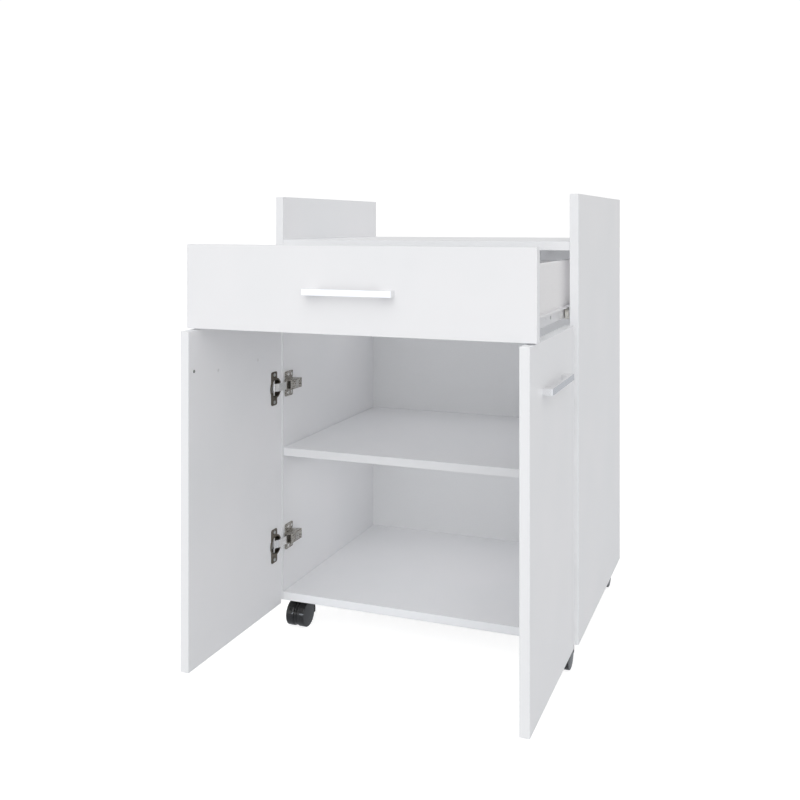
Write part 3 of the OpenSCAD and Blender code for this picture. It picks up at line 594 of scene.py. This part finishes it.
for name in ("cam_locks", "cam_bolts", "shelf_pins"):
    finish_node(name, ZINC, radius=0.3 * MM)
finish_node("dowels", BEECH, radius=0.5 * MM)
SCREWS = ("cabinet_runner_screws", "caster_screws", "cup_screws_left", "cup_screws_right", "drawer_screws")
for name in SCREWS:
    finish_node(name, ZINC, radius=0.12 * MM)
finish_node("hinge_plate_screws", BRIGHT_NICKEL_AND_RIB_HIGHLIGHT, radius=0.12 * MM)
# the heads inside the doors and the drawer are lacquered white, so they hardly show
for name in ("handle_screws_left", "handle_screws_right", "drawer_handle_screws"):
    finish_node(name, EPOXY, radius=0.12 * MM)

# ---------- hinges ----------


def slide_in(along, up, radius):
    """Moves a point of the cup's rim inwards, but along the flange's straight edges and the mouth's sides."""
    if abs(abs(up) - MOUTH_HALF) < ON_EDGE and along > 0:
        return math.sqrt(radius**2 - up**2), up
    if min(abs(along - FLANGE_NEAR), abs(along + FLANGE_FAR)) < ON_EDGE:
        return along, math.copysign(math.sqrt(radius**2 - along**2), up)
    shrink = radius / math.hypot(along, up)
    return along * shrink, up * shrink


def pressed_cups(name):
    """The hinge cups with a narrower rim and a rolled-in opening, as the pressed steel has them."""
    low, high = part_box(name)
    bowl_y = high.y - RING_R
    heights = (low.z + FLANGE_L / 2, high.z - FLANGE_L / 2)
    shape = shape_of(name)
    for v in shape.verts:
        z = min(heights, key=lambda height: abs(height - v.co.z))
        along = v.co.y - bowl_y
        up = v.co.z - z
        was = math.hypot(along, up)
        for old, new in ((RING_R, RIM_R), (BOWL_R, OPENING_R)):
            if abs(was - old) < ON_CIRCLE:
                along, up = slide_in(along, up, new)
                v.co.y = bowl_y + along
                v.co.z = z + up
    mesh = mesh_from(shape, name + "_pressed")
    piece = make_piece(name + "_pressed", mesh, nodes[name]["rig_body"], [CUP_NICKEL])
    break_edges(piece, CUP_EDGE)
    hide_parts(name)


def pressed_rib(length):
    """A low rib across a hinge arm, half as wide along its top as at its foot."""
    rib = bmesh.new()
    bmesh.ops.create_cube(rib, size=1.0)
    for v in rib.verts:
        width = RIB_WIDTH * (0.5 if v.co.x > 0 else 1.0)
        v.co = Vector((v.co.x * RIB_HEIGHT, v.co.y * width, v.co.z * length))
    return rib


def arm_fittings():
    """The adjusting screws, ribs and cams of the hinges, brighter than the arms and plates they sit on; on
    the ribs the brighter nickel is a painted highlight.
    """
    shape = bmesh.new()
    for low, high in solids_of("hinge_arms"):
        outward, top = inner_face(low, high)
        z = (low.z + high.z) / 2
        for along in ARM_SCREWS:
            place = (top - outward * ARM_SCREW_SINK, low.y + along, z)
            add_shape(shape, turned_mm(ARM_SCREW_MM, 32), place, outward)
        for along in ARM_RIBS:
            # the ribs are of the arm's own steel, and the brighter nickel they get is a painted highlight
            # along them
            place = (top - outward * RIB_HEIGHT, low.y + along, z)
            add_shape(shape, pressed_rib(high.z - low.z - RIB_MARGINS), place, outward)
    # cams of the height adjustment, in the slots of the mounting plates' wings
    for low, high in solids_of("hinge_plates"):
        outward, face = inner_face(low, high)
        for up in (-WING_CAM_Z, WING_CAM_Z):
            place = (face, low.y + WING_CAM_Y, (low.z + high.z) / 2 + up)
            add_shape(shape, turned_mm(WING_CAM_MM, 32), place, outward)
    mesh = mesh_from(shape, "arm_fittings")
    smooth(mesh, angle=40)
    make_piece("arm_fittings", mesh, nodes["hinge_arms"]["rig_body"], [BRIGHT_NICKEL_AND_RIB_HIGHLIGHT])


for name in ("hinge_plates", "hinge_arms"):
    finish_node(name, ARM_NICKEL, radius=0.3 * MM)
for name in ("hinge_cups_left", "hinge_cups_right"):
    pressed_cups(name)
for name in ("hinge_links_left", "hinge_links_right"):
    finish_node(name, BRIGHT_NICKEL_AND_RIB_HIGHLIGHT, radius=0.25 * MM)
arm_fittings()

# ---------- bumper pads ----------


def door_pad(name, door):
    """A small round pad pressed on to a door's inner face, near its free edge."""
    low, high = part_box(door)
    outward, face = inner_face(low, high)
    shape = bmesh.new()
    add_shape(shape, turned_mm(DOOR_PAD_MM, 40), (face, low.y + PAD_INSET, PAD_Z), outward)
    mesh = mesh_from(shape, name)
    smooth(mesh, angle=50)
    make_piece(name, mesh, nodes[door]["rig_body"], [PAD])


for hand in ("left", "right"):
    door_pad("door_pad_" + hand, "door_" + hand)

# ---------- handles ----------

for name in ("door_handle_left", "door_handle_right"):
    finish_node(name, HANDLE_Y, radius=0.6 * MM, segments=3)
finish_node("drawer_handle", HANDLE_X, radius=0.6 * MM, segments=3)

# ---------- runners ----------

for name in ("cabinet_runner_left", "cabinet_runner_right", "drawer_runner_left", "drawer_runner_right"):
    finish_node(name, EPOXY, radius=0.3 * MM)
for name in ("cabinet_roller_left", "cabinet_roller_right", "drawer_roller_left", "drawer_roller_right"):
    finish_node(name, ROLLER, radius=0.5 * MM)

# ---------- casters ----------


def quarter_round(radius):
    """The points of a quarter circle, from its top to its side, as (across, up) distances from its centre."""
    angles = [math.radians(90 * i / ARC_STEPS) for i in range(ARC_STEPS + 1)]
    return [(radius * math.sin(angle), radius * math.cos(angle)) for angle in angles]


def caster_wheel(name):
    """A moulded caster wheel: a tread with rounded edges and a flat outer disc."""
    low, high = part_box(name)
    r = (high.z - low.z) / 2
    half = (high.x - low.x) / 2
    # outward along +x for a right wheel, along -x for a left one
    side = 1 if name.endswith("right") else -1
    outline = [(-half, WHEEL_BORE_R)]
    for across, up in reversed(quarter_round(WHEEL_INNER_EDGE)):
        outline.append((-half + WHEEL_INNER_EDGE - across, r - WHEEL_INNER_EDGE + up))
    for across, up in quarter_round(WHEEL_OUTER_EDGE):
        outline.append((half - WHEEL_OUTER_EDGE + across, r - WHEEL_OUTER_EDGE + up))
    outline.append((half, 0.0))
    mesh = mesh_from(turned([(side * x, radius) for x, radius in outline]), name + "_moulded")
    mesh.transform(Matrix.Translation((low + high) / 2))
    smooth(mesh, angle=40)
    piece = make_piece(name + "_moulded", mesh, nodes[name]["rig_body"], [WHEEL])
    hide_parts(name)


for number in range(1, 5):
    for hand in ("left", "right"):
        caster_wheel("wheel_%d_%s" % (number, hand))
    finish_node("caster_hood_%d" % number, CASTER, radius=0.6 * MM, segments=3)
    finish_node("caster_axle_%d" % number, ZINC)
finish_node("caster_plates", CASTER, radius=0.4 * MM)

# ---------- floor and surroundings ----------

WHITE = (1, 1, 1, 1)
FLOOR_HALF = 30.0

# strength of the surroundings as the camera sees them, and as they light the cart
BACKDROP = 1.05
FILL = 0.69
# glow that lifts the floor to white, so that only a faint shadow is left on it
FLOOR_GLOW = 0.84
# strengths seen in metal: in front of the cart, high up in front of it, and behind it
MIRROR_FRONT = 1.4
MIRROR_HIGH = 1.0
MIRROR_BACK = 0.6
# the mirrored floor fades between these two places in front of the cart
FADE_FROM_Y = -2.2
FADE_TO_Y = -0.7


def ray_masks(tree):
    """Two 0 or 1 values: rays that come straight from the camera, and rays that mirror in something."""
    rays = add(tree, "ShaderNodeLightPath")
    kinds = {0: rays.outputs["Is Glossy Ray"], 1: rays.outputs["Is Transmission Ray"]}
    mirror = add(tree, "ShaderNodeMath", {"operation": "MAXIMUM"}, kinds)
    return rays.outputs["Is Camera Ray"], mirror.outputs[0]


def by_ray(tree, lit, seen, mirrored):
    """Shows one shader to the camera, another to mirrored rays, and lights the cart with the first."""
    camera_ray, mirror_ray = ray_masks(tree)
    direct = add(tree, "ShaderNodeMixShader", None, {0: camera_ray, 1: lit.outputs[0], 2: seen.outputs[0]})
    mixed = {0: mirror_ray, 1: direct.outputs[0], 2: mirrored.outputs[0]}
    return add(tree, "ShaderNodeMixShader", None, mixed).outputs[0]


def studio_floor():
    """Pale floor that melts into the white ground, with a faint shadow; metal mirrors it darker behind."""
    mat = bpy.data.materials.new("studio_floor")
    mat.use_nodes = True
    tree = mat.node_tree
    tree.nodes.clear()
    plain = add(tree, "ShaderNodeBsdfDiffuse", {"Color": colour("#ececec")})
    shaded = add(tree, "ShaderNodeBsdfDiffuse", {"Color": colour("#b0b0b0")})
    glow = add(tree, "ShaderNodeEmission", {"Color": WHITE, "Strength": FLOOR_GLOW})
    white = add(tree, "ShaderNodeAddShader", None, {0: shaded.outputs[0], 1: glow.outputs[0]})
    # in mirrored rays the floor runs from white in front of the cart to grey behind it
    place = add(tree, "ShaderNodeTexCoord").outputs["Object"]
    along = add(tree, "ShaderNodeSeparateXYZ", None, {0: place}).outputs["Y"]
    fade = {"From Min": FADE_FROM_Y, "From Max": FADE_TO_Y, "To Min": MIRROR_FRONT, "To Max": MIRROR_BACK}
    level = add(tree, "ShaderNodeMapRange", fade, {"Value": along}).outputs["Result"]
    mirrored = add(tree, "ShaderNodeEmission", {"Color": colour("#f4f8ff")}, {"Strength": level})
    add(tree, "ShaderNodeOutputMaterial", None, {"Surface": by_ray(tree, plain, white, mirrored)})
    return mat


def lay_floor():
    """A wide flat floor, which belongs to no body."""
    mesh = bpy.data.meshes.new("floor")
    corners = [(x * FLOOR_HALF, y * FLOOR_HALF, 0) for x, y in ((-1, -1), (1, -1), (1, 1), (-1, 1))]
    mesh.from_pydata(corners, [], [(0, 1, 2, 3)])
    mesh.materials.append(studio_floor())
    floor = bpy.data.objects.new("floor", mesh)
    scene.collection.objects.link(floor)


def studio_world():
    """White surroundings; in mirrored rays they are brightest at the horizon in front and greyer behind."""
    world = bpy.data.worlds.new("studio")
    scene.world = world
    world.use_nodes = True
    tree = world.node_tree
    tree.nodes.clear()
    fill = add(tree, "ShaderNodeBackground", {"Color": WHITE, "Strength": FILL})
    white = add(tree, "ShaderNodeBackground", {"Color": WHITE, "Strength": BACKDROP})
    way = add(tree, "ShaderNodeTexCoord").outputs["Generated"]
    parts = add(tree, "ShaderNodeSeparateXYZ", None, {0: way}).outputs
    rise = {"From Min": 0.0, "From Max": 0.35, "To Min": MIRROR_FRONT, "To Max": MIRROR_HIGH}
    front = add(tree, "ShaderNodeMapRange", rise, {"Value": parts["Z"]}).outputs["Result"]
    turn = {"From Min": 0.5, "From Max": -0.3, "To Min": MIRROR_BACK}
    level = add(tree, "ShaderNodeMapRange", turn, {"Value": parts["Y"], "To Max": front}).outputs["Result"]
    mirrored = add(tree, "ShaderNodeBackground", {"Color": WHITE}, {"Strength": level})
    add(tree, "ShaderNodeOutputWorld", None, {"Surface": by_ray(tree, fill, white, mirrored)})


lay_floor()
studio_world()

# ---------- lamps ----------


def hang_lamp(name, data, way):
    """Puts a lamp into the scene that shines the given way."""
    lamp = bpy.data.objects.new(name, data)
    lamp.rotation_euler = Vector(way).to_track_quat("-Z", "Y").to_euler()
    scene.collection.objects.link(lamp)
    return lamp


def soft_sun(name, source, strength, width):
    """Even studio light from the direction of its source, which is a wide disc, width degrees across."""
    data = bpy.data.lights.new(name, "SUN")
    data.energy = strength
    data.angle = math.radians(width)
    hang_lamp(name, data, -Vector(source))


def softbox(name, place, target, size, watts):
    """A rectangular softbox that points at a target; it lights the cart but stays out of the picture."""
    data = bpy.data.lights.new(name, "AREA")
    data.shape = "RECTANGLE"
    data.size, data.size_y = size
    data.energy = watts
    lamp = hang_lamp(name, data, Vector(target) - Vector(place))
    lamp.location = place
    lamp.visible_camera = False
    return lamp


def fill_light(name, place, target, size, watts):
    """A softbox inside the cabinet, which isn't mirrored in its fittings."""
    softbox(name, place, target, size, watts).visible_glossy = False


# the line of light for the casters: its place across and in front of the treads, its height and its aim's
LINE_X = -10 * MM
LINE_GAP = 60 * MM
LINE_Z = 41 * MM
LINE_AIM_Z = 31 * MM
# height of a fill above the board that it lights, and of the fills in the drawer's space
FILL_RISE = 255 * MM
DRAWER_SPACE_Z = 690 * MM
# distances from the back panel, and from the side board's inner face and front edge
BACK_FILL_GAP = 20 * MM
SIDE_FILL_GAP = 0.5 * MM
SIDE_FILL_INSET = 55 * MM

soft_sun("key_light", source=(0.40, -0.89, 0.21), strength=0.50, width=50)
soft_sun("high_light", source=(0.11, -0.63, 0.77), strength=0.65, width=50)
# a line of light low in front of the casters draws the bright line on their black wheels, and no more
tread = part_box("wheel_1_left")[0].y
line_from = (LINE_X, tread - LINE_GAP, LINE_Z)
line_to = (LINE_X, tread, LINE_AIM_Z)
line = softbox("wheel_line", line_from, line_to, size=(550 * MM, 4 * MM), watts=0.11)
line.data.color = colour("#e8f2ff")[:3]
line.visible_diffuse = False
# small fills under the drawer and under the shelf keep the open cabinet as bright as the doors
for board, watts in (("shelf", 0.17), ("bottom_panel", 0.24)):
    low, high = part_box(board)
    y = (low.y + high.y) / 2
    fill_light(board + "_fill", (0.0, y, high.z + FILL_RISE), (0.0, y, 0.0), size=(0.5, 0.4), watts=watts)
# another behind the drawer lights the gap beside it
back = (0.0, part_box("back_panel")[0].y - BACK_FILL_GAP, DRAWER_SPACE_Z)
fill_light("bay_fill", back, (0.0, 0.0, DRAWER_SPACE_Z), size=(0.5, 0.08), watts=0.2)
# and two narrow ones light the gaps between the drawer's sides and the cabinet
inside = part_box("side_right")[0]
gap_y = inside.y + SIDE_FILL_INSET
for side in (-1, 1):
    gap = (side * (inside.x - SIDE_FILL_GAP), gap_y, DRAWER_SPACE_Z)
    fill_light("gap_fill_%d" % side, gap, (0.0, gap_y, DRAWER_SPACE_Z), size=(0.1, 0.1), watts=0.0075)

# ---------- camera ----------

# a level camera, turned to its left, with the lens shifted, as worked out from the outline of the cart
camera_data = bpy.data.cameras.new("camera")
camera_data.sensor_width = 36.0
camera_data.lens = 41.52
camera_data.shift_x = -0.06206
camera_data.shift_y = -0.2201
camera_data.clip_end = 100.0
camera = bpy.data.objects.new("camera", camera_data)
camera.location = (0.62891, -1.655375, 0.79112)
camera.rotation_euler = (math.radians(90), 0, 0.34306)
scene.collection.objects.link(camera)
scene.camera = camera
scene.view_settings.view_transform = "Standard"
